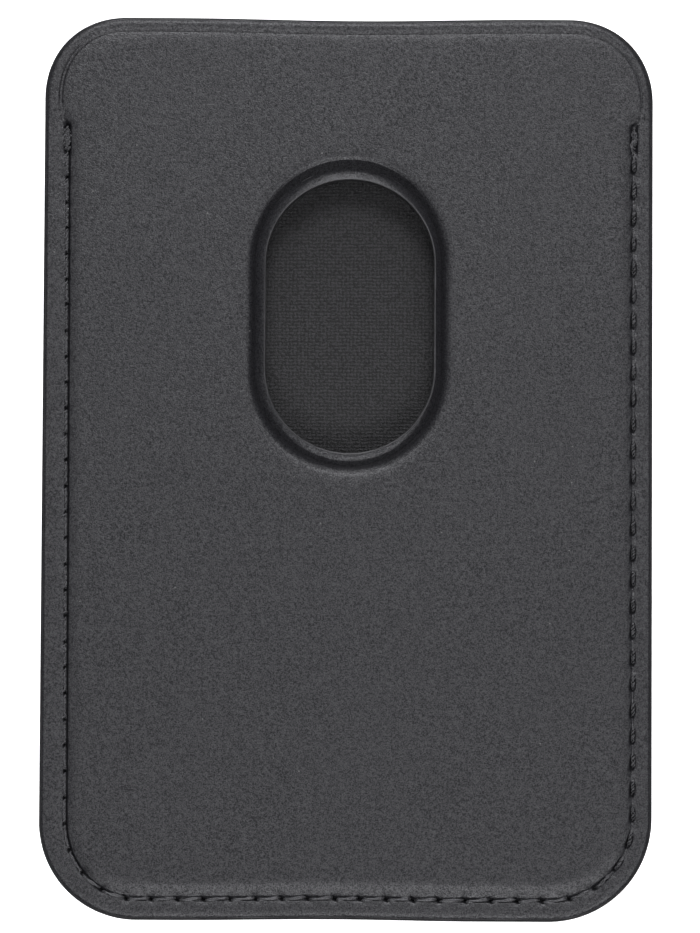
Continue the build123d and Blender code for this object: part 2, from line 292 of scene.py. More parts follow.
def band(name, samples, section):
    """Solid swept round the outline: section gives the closed outline (inset, height) at each sample."""
    rows = []
    for i in samples:
        sec = np.array(section(i), float)
        xy = rim.p[i] + rim.n[i] * sec[:, :1]
        rows.append(np.stack([xy[:, 0], warp(xy[:, 0], xy[:, 1]), sec[:, 1]], 1))
    return make_object(name, np.concatenate(rows), tube_faces(len(rows), len(rows[0])))


# ---------------------------------------------------------------- phone-side leather

# Inset where the underside of the leather starts to rise to the crown.
CROWN_LINE = sided(rim.n, 2.8, 2.3, 2.5, 1.6)
EDGE_R = 0.72
MOUTH_Z = TOP_Z - 0.08
ON_SIDES = rim.n[:, 0] ** 2
ON_LEFT = ON_SIDES * (rim.n[:, 0] > 0)
ON_RIGHT = ON_SIDES * (rim.n[:, 0] < 0)
ON_ENDS = rim.n[:, 1] ** 2
# The margins on the two long sides lie a little higher than the one at the bottom.
SIDE_LIFT = 0.2 * ON_SIDES
# The sewn line on its three sides: a crack on the left, a lens under each stitch on the right, a shallow
# groove along the bottom, with a needle pit at both ends of each stitch and a trench where the seam ends.
LENS = np.exp(-(((rim.phase - 0.42) / 0.21) ** 4))
SEAM_CUT = 0.12 * ON_ENDS + (0.02 + 0.52 * LENS) * ON_RIGHT + 0.46 * ON_LEFT
SEAM_WIDE = 0.225 * ON_ENDS + (0.13 + 0.13 * LENS) * ON_RIGHT + 0.19 * ON_LEFT
PIT_DEEP = 0.6 * ON_ENDS + 0.5 * ON_RIGHT + 0.25 * ON_LEFT
PIT_WIDE = 0.15 + 0.04 * smooth((rim.p[:, 0] + 20) / 40)
PIT_AT = (rim.to_hole - 0.12) * (1 - ON_RIGHT) + (rim.phase - 0.24) * 2.3 * ON_RIGHT
PIT_AT /= PIT_WIDE + 0.1 * ON_RIGHT
PIT_SIDE = 0.08 * np.sign(rim.phase - 0.5) * ON_ENDS + 0.12 * ON_RIGHT
SEAM_END = np.exp(-(((np.minimum(rim.u, np.abs(rim.u - rim.seam_length)) - LEAD - 1.4) / 1.4) ** 4))


def round_edge(s, radius):
    """How far a rounded edge has dropped at inset s."""
    t = np.clip(1 - s / radius, 0, 1)
    return radius * (1 - np.sqrt(np.clip(1 - t * t, 0, 1)))


def soft_ramp(t, sharpness=8.0):
    """Straight rise from 0 to 1 that eases into its end."""
    return 1 - np.logaddexp(0, sharpness * (1 - t)) / sharpness


def vee(d, width):
    """Profile of a pressed line: 1 in its middle, 0 at width to either side."""
    return np.clip(1 - np.abs(d) / width, 0, 1)


def rim_level():
    """Height of the sewn margin and of the mouth's lip, before rounding."""
    return (MARGIN_Z + 1.3 * SIDE_LIFT) * rim.on_seam + MOUTH_Z * (1 - rim.on_seam)


def phone_height(s):
    """Height of the phone-side face at inset s, for every sample round the outline."""
    s = np.broadcast_to(s, rim.count)
    d = s - rim.ref
    xy = rim.p + rim.n * s[:, None]
    x, y = xy[:, 0], xy[:, 1]
    drop = round_edge(s, EDGE_R)
    # Along the seam: slightly pillowed margin, sewn groove, needle pits, slope to the crown.
    margin = MARGIN_Z + SIDE_LIFT
    seam = margin + 0.035 * np.sin(math.pi * np.clip((s - 0.5) / np.maximum(rim.ref - 0.75, 0.1), 0, 1))
    seam += 0.3 * SIDE_LIFT * (1 - smooth((s - 0.42) / 0.22))
    rise = d - 0.12
    slope = (1 - ON_SIDES) * soft_ramp(rise / 1.4) + ON_SIDES * (1 - np.clip(1 - rise / 1.5, 0, 1) ** 2)
    seam += (TOP_Z - margin) * slope * (rise > 0)
    middle = 0.01 + 0.07 * ON_LEFT + 0.02 * ON_RIGHT + 0.02 * wobble(x, y, 1.3, 12)
    opened = smooth((np.minimum(rim.u, rim.seam_length - rim.u) - LEAD + 0.2) / 0.3)
    cut = SEAM_CUT + 0.04 * wobble(x, y, 3.0, 11)
    seam -= opened * cut * np.exp(-((np.abs(d - middle) / SEAM_WIDE) ** 6))
    seam -= 0.6 * SEAM_END * np.exp(-((d / 0.31) ** 4))
    seam -= PIT_DEEP * np.exp(-((PIT_AT**2 + ((d - 0.01 - PIT_SIDE) / PIT_WIDE) ** 2) ** 1.5))
    seam -= 0.1 * np.exp(-((rim.to_hole / 0.6) ** 2 + (d / 0.6) ** 2))
    # Round the mouth: rolled lip, narrow flat, pressed lines, short rise to the panel.
    lip = MOUTH_Z - 0.012 * ON_ENDS * np.exp(-(((s - 1.0) / 0.25) ** 2))
    lip += (TOP_Z - MOUTH_Z) * (1 - np.exp(-np.clip(d - 0.06, 0, 9) / 0.4))
    fade = smooth((y - SEAM_TOP_Y - 0.8) / 0.7)
    left = rim.n[:, 0] > 0
    lip -= 0.055 * fade * vee(d, np.where(left, 0.09, 0.15) * (1 - ON_ENDS) + 0.08 * ON_ENDS)
    lip -= 0.055 * fade * left * (1 - smooth((ON_ENDS - 0.5) / 0.4)) * vee(d + 0.36, 0.09)
    z = seam * rim.on_seam + lip * (1 - rim.on_seam) - drop
    z += 0.012 * wobble(x, y, 5.0, 3) * smooth(s / 0.5) + 0.02 * wobble(x, y, 22.0, 5) * smooth(s / 3)
    return np.minimum(z, TOP_Z + 0.02)


def hole_frame():
    """Points of the thumb hole's edge that face the outline samples, with outward normals."""
    xy = rim.p[::FEW]
    dx, dy = xy[:, 0] - HOLE_X, xy[:, 1] - HOLE_Y
    angle = np.arctan2(dy, dx)
    c, s = np.cos(angle), np.sin(angle)
    side = np.abs(s) * HOLE_R <= np.abs(c) * (HOLE_STRAIGHT + ARC_DROP * (s < 0))
    reach_side = HOLE_R / np.maximum(np.abs(c), 1e-9)
    cy = np.where(s < 0, -HOLE_STRAIGHT - ARC_DROP, HOLE_STRAIGHT)
    b = -s * cy
    reach_end = -b + np.sqrt(np.maximum(b * b - (cy**2 - HOLE_R**2), 0))
    reach = np.where(side, reach_side, reach_end)
    px, py = reach * c, reach * s
    core = np.clip(py, -HOLE_STRAIGHT - ARC_DROP, HOLE_STRAIGHT)
    nx, ny = px, py - core
    size = np.hypot(nx, ny)
    return np.stack([px + HOLE_X, py + HOLE_Y], 1), np.stack([nx / size, ny / size], 1)


hole_p, hole_n = hole_frame()


def hole_loop(e, z):
    """Closed loop of points at distance e out from the hole's edge and height z."""
    e = np.broadcast_to(e, len(hole_p))
    xy = hole_p + hole_n * e[:, None]
    return np.stack([xy[:, 0], xy[:, 1], np.broadcast_to(z, len(hole_p))], 1)


def around_hole(left, right, bottom, top):
    """A value that changes smoothly round the hole from side to side."""
    nx, ny = hole_n[:, 0], hole_n[:, 1]
    return nx**2 * np.where(nx < 0, left, right) + ny**2 * np.where(ny < 0, bottom, top)


# Profile of the sunken rim on each side of the hole: distance out from the edge, depth below the crown.
# The first five run down the bead into the groove, two go up the wall and three over the shoulder.
RIM_LEFT = ((0.1, 0.36), (0.4, 0.49), (0.7, 0.67), (0.95, 0.87), (1.14, 1.05), (1.2, 0.95))
RIM_LEFT += ((1.39, 0.55), (1.6, 0.27), (1.95, 0.07), (2.5, 0.0))
RIM_RIGHT = ((0.1, 0.36), (0.24, 0.43), (0.4, 0.6), (0.6, 0.83), (0.76, 1.04), (0.82, 0.95))
RIM_RIGHT += ((1.06, 0.54), (1.33, 0.27), (1.72, 0.08), (2.2, 0.0))
RIM_BOTTOM = ((0.1, 0.4), (0.45, 0.445), (0.82, 0.56), (1.08, 0.8), (1.32, 1.06), (1.39, 0.97))
RIM_BOTTOM += ((1.75, 0.48), (2.05, 0.235), (2.45, 0.065), (3.1, 0.0))
RIM_TOP = ((0.1, 0.36), (0.4, 0.455), (0.7, 0.61), (1.0, 0.82), (1.3, 1.1), (1.38, 1.04))
RIM_TOP += ((2.05, 0.26), (2.24, 0.145), (2.52, 0.035), (2.9, 0.0))


def through(knots, steps=6):
    """Smooth curve through the knots with a sharp turn at the fifth, in equal steps between two knots."""
    if len(knots) > 6:
        return np.concatenate([through(knots[:5])[:-1], through(knots[4:])])
    knots = np.array(knots)
    rise = np.diff(knots, axis=0)
    bend = np.zeros_like(knots)
    bend[1:-1] = (rise[:-1] + rise[1:]) / 2
    bend[0], bend[-1] = rise[0], rise[-1]
    out = []
    for k in range(len(rise)):
        for t in np.arange(steps) / steps:
            h = (2 * t**3 - 3 * t**2 + 1, t**3 - 2 * t**2 + t, 3 * t**2 - 2 * t**3, t**3 - t**2)
            out.append(h[0] * knots[k] + h[1] * bend[k] + h[2] * knots[k + 1] + h[3] * bend[k + 1])
    return np.array(out + [knots[-1]])


curves = [through(side) for side in (RIM_LEFT, RIM_RIGHT, RIM_BOTTOM, RIM_TOP)]
rim_out = np.array([around_hole(*values) for values in zip(*(c[:, 0] for c in curves))])
rim_depth = np.array([around_hole(*values) for values in zip(*(c[:, 1] for c in curves))])


def rim_height(e):
    """Height of the sunken rim at distance e out from the hole's edge."""
    e = np.broadcast_to(e, len(hole_p))
    depth = np.array([np.interp(e[i], rim_out[:, i], rim_depth[:, i]) for i in range(len(e))])
    xy = hole_p + hole_n * e[:, None]
    skewed = xy @ np.array([[0.5, 0.87], [-0.87, 0.5]]) * (1, 0.35)
    crinkle = wobble(xy[:, 0], xy[:, 1], 1.5, 21) + 0.8 * wobble(skewed[:, 0], skewed[:, 1], 0.55, 22)
    return TOP_Z - depth + 0.016 * crinkle * np.exp(-(((e - 0.6) / 0.5) ** 2))


def back_leather_mesh():
    """Leather with its hole: up the wall of the hole, over the face and the edge, and back underneath."""
    loops = [hole_loop(COAT, COLLAR_Z), hole_loop(COAT, COLLAR_Z + 0.6), hole_loop(COAT, TOP_Z - 0.72)]
    loops.append(hole_loop(COAT + 0.02, rim_height(np.full(len(hole_p), 0.1)) - 0.04))
    for e in rim_out[2:]:
        loops.append(hole_loop(e, rim_height(e)))
    for k in (0.3, 0.7):
        loops.append(hole_loop(rim_out[-1] + k, TOP_Z))
    inner = loops[-1]
    outer = rim.loop(5.2, phone_height(5.2), FEW)
    steps = 16
    for k in range(1, steps):
        t = k / steps
        xy = inner[:, :2] * (1 - t) + outer[:, :2] * t
        flat = TOP_Z + 0.02 * wobble(xy[:, 0], xy[:, 1], 22.0, 5) + 0.012 * wobble(xy[:, 0], xy[:, 1], 5.0, 3)
        z = flat * smooth(t * 3) + inner[:, 2] * (1 - smooth(t * 3))
        loops.append(np.column_stack([xy, z]))
    loops.append(outer)
    # Distances inwards from the sewn line or the crease, closest together round it.
    beyond = [2.2, 1.85, 1.6, 1.42, 1.27, 1.12, 0.97, 0.83, 0.7, 0.58, 0.48, 0.4, 0.34, 0.28]
    beyond += [0.04 * k for k in range(6, -12, -1)] + [-0.52]
    insets = [np.minimum(rim.ref + 2.9, 4.9)] + [rim.ref + d for d in beyond]
    insets += [EDGE_R + (rim.ref - 0.52 - EDGE_R) * k for k in (0.75, 0.5, 0.25)]
    insets += [0.62, 0.56, 0.5, 0.44, 0.38, 0.33, 0.28, 0.24, 0.2, 0.17]
    loops += [rim.loop(s, phone_height(s)) for s in insets]
    loops.append(rim.loop(COAT, phone_height(COAT) - 0.1))
    loops.append(rim.loop(COAT, UNDER_Z, FEW))
    for k, z in ((0, UNDER_Z), (0.25, UNDER_Z + 0.1), (0.75, UNDER_Z + CROWN - 0.1), (1, UNDER_Z + CROWN)):
        loops.append(rim.loop(CROWN_LINE + 0.2 + 1.2 * k, z, FEW))
    loops.append(hole_loop(2.6, UNDER_Z + CROWN))
    loops.append(hole_loop(2.6, COLLAR_Z))
    return skin(loops, True)


back_leather = make_object("phone_side_leather", *back_leather_mesh(), smooth_angle=60)
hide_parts("back_leather")

# ---------------------------------------------------------------- outward leather and its lining

# Inset where the outward face starts to fall, width of the fall, and how far inwards it starts per level.
DISH_START, DISH_RUN, DISH_SHIFT = 2.9, 1.2, 0.47


def tray_depth(x, y):
    """Inset from the sides and the bottom, ignoring the open mouth."""
    r = np.where(x < 0, RADII[0], RADII[1])
    qx = np.abs(x) - (HALF_W - r)
    qy = -y - (HALF_H - r)
    out = np.hypot(np.maximum(qx, 0), np.maximum(qy, 0)) + np.minimum(np.maximum(qx, qy), 0) - r
    return -out


def dish(x, y, level, floor):
    """Height of the dished surface at a level above the outward face, with eased bends."""
    start = DISH_START + DISH_SHIFT * level
    t = (tray_depth(x, y) - start) / DISH_RUN
    z = DISH_Z + level - DISH_Z * (t * 0.5 + 0.5 * smooth(t)) * (t > 0)
    z = np.where(t >= 1, level, z)
    return np.maximum(z, floor)


def front_loop(s, level, floor, every=1, extra=0.0):
    """Closed loop of points on the dished surface at inset s."""
    xy = rim.p + rim.n * np.broadcast_to(s, rim.count)[:, None]
    z = dish(xy[:, 0], xy[:, 1], level, floor) + extra
    return np.stack([xy[:, 0], warp(xy[:, 0], xy[:, 1]), z], 1)[::every]


def outward_extra(s):
    """Seam relief on the outward face, measured inwards from its surface."""
    d = s - rim.ref
    xy = rim.p + rim.n * np.asarray(s).reshape(-1, 1)
    groove = (0.17 + 0.04 * wobble(xy[:, 0], xy[:, 1], 3.0, 12)) * np.exp(-(np.abs(d) / 0.24) ** 4)
    pit = 0.5 * np.exp(-(((rim.to_hole / 0.25) ** 2 + (d / 0.22) ** 2) ** 1.5))
    pull = 0.1 * np.exp(-((rim.to_hole / 0.6) ** 2 + (d / 0.6) ** 2))
    seam = groove + pit + pull
    mouth = 0.05 * vee(d, 0.09)
    edge = round_edge(np.broadcast_to(s, rim.count) + 0.05, 0.45)
    return seam * rim.on_seam + mouth * (1 - rim.on_seam) + edge


def centre_loops(last_s, level, floor):
    """Loops that close a panel from inset last_s to a thin line in its middle."""
    xy = (rim.p + rim.n * last_s)[::FEW]
    loops = []
    for k in (0.25, 0.5, 0.75, 0.97):
        goal = np.stack([xy[:, 0] * 0.04, np.clip(xy[:, 1], -24, 24)], 1)
        q = xy * (1 - k) + goal * k
        loops.append(np.column_stack([q, dish(q[:, 0], q[:, 1], level, floor)]))
    return loops


def cap(loop_start, count):
    """Two-sided strip that closes the thin middle slit of a panel."""
    half = count // 2
    faces = []
    for k in range(half):
        ring = []
        for v in (k, k + 1, count - k - 1, count - k):
            if v % count not in ring:
                ring.append(v % count)
        if len(ring) > 2:
            faces.append([loop_start + v for v in ring])
    return faces


def panel(level_out, floor_out, level_in, floor_in, outward):
    """Closed dished sheet without a hole, as loops from its middle out, over the edge and back."""
    mid_out = centre_loops(6.5, level_out, floor_out)[::-1]
    mid_in = centre_loops(6.5, level_in, floor_in)
    if outward:
        # The outer face: coarse in the middle, then fine loops across the seam, closest together at its line.
        edge = np.full(rim.count, COAT)
        beyond = [2.4, 2.0, 1.7, 1.4, 1.15, 0.95, 0.75, 0.58, 0.46, 0.38, 0.32, 0.27, 0.22, 0.15, 0.07, 0.0]
        beyond += [-0.07, -0.15, -0.22, -0.27, -0.32, -0.38, -0.5]
        insets = [np.minimum(rim.ref + d, 4.9) for d in beyond]
        insets += [np.full(rim.count, s) * (rim.ref - 0.5) / 1.3 for s in (1.0, 0.7)]
        insets += [np.full(rim.count, s) for s in (0.4, 0.32, 0.25, 0.19)] + [edge]
        out = [front_loop(s, level_out, floor_out, FEW) for s in (6.5, 5.4)]
        out += [front_loop(s, level_out, floor_out, 1, outward_extra(s)) for s in insets]
    else:
        edge = COAT + 0.03
        insets = (6.5, 5.2, 4.9, 4.6, 4.3, 4.0, 3.7, 3.4, 3.1, 2.8, 2.0, 1.0, 0.4, edge)
        out = [front_loop(s, level_out, floor_out, FEW) for s in insets]
    insets = (edge, 1.0, 2.0, 2.8, 3.1, 3.4, 3.7, 4.0, 4.3, 4.6, 4.9, 5.2, 6.5)
    back = [front_loop(s, level_in, floor_in, FEW) for s in insets]
    loops = mid_out + out + back + mid_in
    verts, faces = skin(loops, False)
    faces += [f[::-1] for f in cap(0, len(loops[0]))]
    faces += cap(len(verts) - len(loops[-1]), len(loops[-1]))
    return verts, faces


outward_panel = panel(0.0, 0.0, LEATHER, LEATHER, True)
front_leather = make_object("outward_leather", *outward_panel, smooth_angle=60)
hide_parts("front_leather")

pocket_panel = panel(LEATHER, CLOTH_Z, LEATHER + CLOTH, CLOTH_Z + CLOTH, False)
front_lining = make_object("pocket_cloth", *pocket_panel, smooth_angle=60)
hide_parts("front_lining")

# ---------------------------------------------------------------- lining of the phone-side panel


def back_lining_mesh():
    """Lining flat at the margin that steps down round the magnets: its lower face, then its upper."""
    margin = LINING_HIGH_Z - CLOTH
    step = margin - LINING_LOW_Z
    bend = [(0, 0), (0.2, 0.12), (0.5, 0.5), (0.8, 0.88), (1, 1)]

    def loop(s, z):
        """Loop at inset s, drawn outwards at the mouth."""
        return rim.loop(s - sided(rim.n, 0, 0, 0, 1.55), z, FEW)

    low = [rim.loop(COAT + 0.03, margin, FEW), loop(3.6, margin)]
    low += [loop(3.95 + 0.3 * a, margin - step * b) for a, b in bend]
    low += [hole_loop(4.0, LINING_LOW_Z), hole_loop(COAT, LINING_LOW_Z)]
    up = [hole_loop(COAT, LINING_LOW_Z + CLOTH), hole_loop(4.0, LINING_LOW_Z + CLOTH)]
    up += [loop(4.36 - 0.3 * a, LINING_LOW_Z + CLOTH + step * b) for a, b in bend]
    up += [loop(3.7, LINING_HIGH_Z), rim.loop(COAT + 0.03, LINING_HIGH_Z, FEW)]
    return skin(low + up, True)


back_lining = make_object("phone_side_cloth", *back_lining_mesh(), smooth_angle=60)
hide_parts("back_lining")

# ---------------------------------------------------------------- painted edges


def ripple(i, seed, amount):
    """Small unevenness of brushed-on paint."""
    x, y = rim.p[i]
    return amount * float(wobble(x, y, 2.4, seed))


def layer_ridges(z, interfaces, depth=0.035):
    """How far the paint sinks where two layers meet."""
    return sum(depth * math.exp(-(((z - q) / 0.07) ** 2)) for q in interfaces)


SEAM_LAYERS = (
    DISH_Z + LEATHER,
    DISH_Z + LEATHER + CLOTH,
    (DISH_Z + LEATHER + LINING_HIGH_Z) / 2,
    LINING_HIGH_Z - CLOTH,
    LINING_HIGH_Z,
)
seam_samples = list(range(0, rim.seam_count + 1, 2))
mouth_samples = list(range(rim.seam_count, rim.count, 2)) + [0]
edge_level = rim_level()


def paint_crest(top, lift=0.012):
    """Rounded upper edge of the paint, from the wall over to the leather."""
    out = []
    for s in (0.004, 0.015, 0.035, 0.065, 0.105, 0.155, 0.205, 0.235):
        out.append((s, top - float(round_edge(s, EDGE_R)) + lift))
    return out + [(0.262, top - float(round_edge(0.262, EDGE_R)) - 0.008)]


def seam_section(i):
    top = edge_level[i]
    outer = []
    for z in np.linspace(DISH_Z + 0.2, top - EDGE_R, 22):
        brush = ripple(i, 31, 0.01) + ripple(i, 32, 0.01) * math.sin(z * 2)
        outer.append((0.008 + layer_ridges(z, SEAM_LAYERS) + brush, z))
    inner = [(0.25, top - 0.22), (COAT, top - 0.4), (COAT, DISH_Z + 0.1)]
    foot = [(0.24, DISH_Z + 0.06), (0.22, DISH_Z), (0.15, DISH_Z + 0.01), (0.07, DISH_Z + 0.08)]
    return outer + paint_crest(top) + inner + foot


seam_coat = band("seam_edge_paint", seam_samples, seam_section)
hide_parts("seam_edge_coat")


def back_mouth_section(i):
    top = edge_level[i]
    base = LINING_HIGH_Z - CLOTH
    zs = list(np.linspace(base + 0.12, top - EDGE_R, 8))
    outer = [(0.008 + layer_ridges(z, (LINING_HIGH_Z,)) + ripple(i, 33, 0.01), z) for z in zs]
    inner = [(0.25, top - 0.22), (COAT, top - 0.4), (COAT, base + 0.02)]
    foot = [(0.17, base), (0.1, base + 0.01), (0.04, base + 0.06)]
    return outer + paint_crest(top) + inner + foot


back_mouth_coat = band("back_mouth_edge_paint", mouth_samples, back_mouth_section)
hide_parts("back_mouth_edge_coat")


def front_mouth_section(i):
    x, y = rim.p[i]
    low = float(dish(np.array([x]), np.array([y]), 0.0, 0.0)[0])
    high = float(dish(np.array([x]), np.array([y]), LEATHER + CLOTH, CLOTH_Z + CLOTH)[0])
    zs = list(np.linspace(low + 0.16, high - 0.08, 8))
    outer = [(0.02 + layer_ridges(z, (high - CLOTH,)) + ripple(i, 34, 0.012), z) for z in zs]
    crest = [(0.05, high - 0.03), (0.11, high), (0.17, high + 0.005)]
    inner = [(COAT, high - 0.06), (COAT, low + 0.1)]
    foot = [(0.2, low + 0.05), (0.18, low + 0.01), (0.1, low + 0.03), (0.05, low + 0.08)]
    return outer + crest + inner + foot


front_mouth_coat = band("front_mouth_edge_paint", mouth_samples, front_mouth_section)
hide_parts("front_mouth_edge_coat")


def thumb_coat_mesh():
    lip = rim_height(0.2)
    wave = 0.008 * wobble(hole_p[:, 0], hole_p[:, 1], 2.0, 41)
    wide = around_hole(0.19, 0.24, 0.2, 0.2) + 0.015 * wobble(hole_p[:, 0], hole_p[:, 1], 3.5, 42)
    base = HOLE_LOW[2]
    loops = [hole_loop(COAT, base + 0.02), hole_loop(0.1, base), hole_loop(0.04, base + 0.05)]
    for z in np.linspace(base + 0.2, TOP_Z - 0.85, 7):
        loops.append(hole_loop(0.01 + wave + layer_ridges(z, (base + 0.2, base + 0.35), 0.03), z))
    for e, z in ((0.01, -0.14), (0.02, -0.06), (0.04, 0.0), (0.07, 0.035), (0.11, 0.05)):
        loops.append(hole_loop(e + wave, lip + z))
    loops.append(hole_loop(wide - 0.03, lip + 0.048))
    loops.append(hole_loop(wide, lip + 0.035))
    loops.append(hole_loop(wide + 0.02, rim_height(wide + 0.02) - 0.01))
    loops.append(hole_loop(wide, lip - 0.1))
    loops.append(hole_loop(COAT + 0.02, lip - 0.2))
    return skin(loops, True)


thumb_coat = make_object("thumb_hole_edge_paint", *thumb_coat_mesh(), smooth_angle=70)
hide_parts("thumb_hole_edge_coat")

# ---------------------------------------------------------------- stitches


def ply_tube(centres, radius, sides=6):
    """Tube mesh along a line of points, closed at both ends."""
    centres = np.asarray(centres)
    radius = np.broadcast_to(radius, len(centres))[:, None]
    tangent = np.gradient(centres, axis=0)
    tangent /= np.linalg.norm(tangent, axis=1)[:, None]
    up = np.array([0, 0, 1.0])
    side = np.cross(tangent, up)
    weak = np.linalg.norm(side, axis=1) < 0.05
    side[weak] = (1, 0, 0)
    side /= np.linalg.norm(side, axis=1)[:, None]
    other = np.cross(side, tangent)
    ring = []
    for k in range(sides):
        a = math.tau * k / sides
        ring.append(centres + radius * (math.cos(a) * side + math.sin(a) * other))
    return np.stack(ring, 1).reshape(-1, 3), tube_faces(len(centres), sides)


def thread_row(seed, surface, sign):
    """All stitches of one face: two twisted plies each, diving into the needle holes at both ends."""
    rng = np.random.default_rng(seed)
    verts, faces, start = [], [], 0

    def lay(centres, radius):
        """Add one ply or fibre to the row."""
        nonlocal start, faces
        v, f = ply_tube(centres, radius)
        v = np.column_stack([v[:, 0], warp(v[:, 0], v[:, 1]), v[:, 2]])
        verts.append(v)
        faces += [[start + q for q in face] for face in f]
        start += len(v)

    # Where each stitch starts and ends, and how far it bows aside; the two end stitches are doubled.
    jobs = [(rim.holes[k], rim.holes[k + 1], 0.0) for k in range(STITCHES)]
    jobs += [(LEAD, rim.holes[1], 0.22), (rim.holes[-2], rim.holes[-1], -0.22)]
    t = np.linspace(0, 1, 25)
    for u0, u1, aside in jobs:
        _, middle_n = rim.at((u0 + u1) / 2)
        bottom = middle_n[1] ** 2
        left = middle_n[0] ** 2 * (middle_n[0] > 0) * (sign > 0)
        right = middle_n[0] ** 2 * (middle_n[0] < 0)
        slant = -(0.02 + 0.1 * bottom) * sign + rng.uniform(-0.04, 0.04) * (1 - 0.6 * bottom)
        sunk = rng.uniform(0.0, 0.03) + rng.uniform(0.05, 0.14) * left + rng.uniform(0.14, 0.2) * right
        bow = rng.uniform(-0.03, 0.03) - 0.07 * left
        turns = rng.uniform(0.5, 0.9) * bottom + rng.uniform(1.5, 2.3) * left + rng.uniform(2.2, 3.0) * right
        phase = rng.uniform(0, math.tau)
        length = u1 - u0
        keep = 0.12 + 0.25 * right + rng.uniform(0, 0.15)
        u = u0 + keep + (length - 2 * keep) * t
        lateral = slant * np.cos(math.pi * t) + (bow + aside) * np.sin(math.pi * t)
        xy, nrm = rim.at(u)
        xy = xy + nrm * lateral[:, None]
        dive = np.clip(np.minimum(t, 1 - t) * length / 0.5, 0, 1)
        height = -sunk - 0.55 * (1 - np.sqrt(1 - (1 - dive) ** 2))
        base = np.column_stack([xy[:, 0], xy[:, 1], surface(nrm) + sign * (height - 0.05)])
        thick = 0.55 + 0.45 * np.sin(math.pi * t) ** 0.6
        for ply in range(2):
            a = phase + turns * math.tau * t * sign + ply * math.pi
            swing = (0.095 * bottom + 0.09 * left + 0.16 * right) * thick
            off = np.column_stack([nrm * (swing * np.cos(a))[:, None], 0.7 * swing * np.sin(a)])
            lay(base + off, (0.115 * bottom + 0.085 * left + 0.062 * right) * thick)
        # Single fibres crossing the opened seam on the sides.
        fibres = 2 if right > 0.5 else 4 if left > 0.5 else 0
        for place in (np.arange(fibres) + 0.5) / max(fibres, 1):
            share = 0.28 + 0.42 * place if right > 0.5 else place
            across = np.linspace(-1, 1, 9)
            u = u0 + length * share + across * rng.uniform(0.15, 0.22) + rng.uniform(-0.05, 0.05)
            xy, nrm = rim.at(u)
            xy = xy - nrm * (across * rng.uniform(0.13, 0.19) + 0.02 + 0.05 * left)[:, None]
            z = surface(nrm) + sign * (rng.uniform(-0.03, 0.03) - 0.12 * across**2)
            lay(np.column_stack([xy, z]), rng.uniform(0.075, 0.09) * (1 - 0.4 * across**2))
    # Loose plies where the seam starts and ends and was sewn over twice.
    total = rim.holes[-1]
    for end in (0, 1):
        for _ in range(16):
            u = LEAD + rng.uniform(0.0, 2.9)
            u = total - u if end else u
            xy, nrm = rim.at(u)
            along = np.array([-nrm[1], nrm[0]])
            turn = rng.uniform(-1.1, 1.1)
            way = along * math.cos(turn) + nrm * math.sin(turn)
            side = np.array([-way[1], way[0]])
            length = rng.uniform(0.45, 0.95)
            middle = xy + nrm * rng.uniform(-0.32, 0.32)
            run = (t - 0.5) * length
            curl = rng.uniform(-0.14, 0.14) * np.sin(math.pi * t)
            flat = middle + way * run[:, None] + side * curl[:, None]
            z = rng.uniform(-0.24, 0.1) + 0.24 * np.sin(math.pi * t) - 0.18
            lay(np.column_stack([flat, surface(nrm[None])[0] + sign * z]), rng.uniform(0.05, 0.08))
    return np.concatenate(verts), faces


def needle_level(nrm):
    """Height of the phone-side margin that the needle thread lies on."""
    return MARGIN_Z + 0.2 * nrm[:, 0] ** 2


def bobbin_level(nrm):
    """Height of the outward face that the bobbin thread lies on."""
    return np.full(len(nrm), DISH_Z)


needle = make_object("needle_thread_stitches", *thread_row(5, needle_level, 1), smooth_angle=80)
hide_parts("needle_thread")
bobbin = make_object("bobbin_thread_stitches", *thread_row(6, bobbin_level, -1), smooth_angle=80)
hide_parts("bobbin_thread")

# ---------------------------------------------------------------- materials


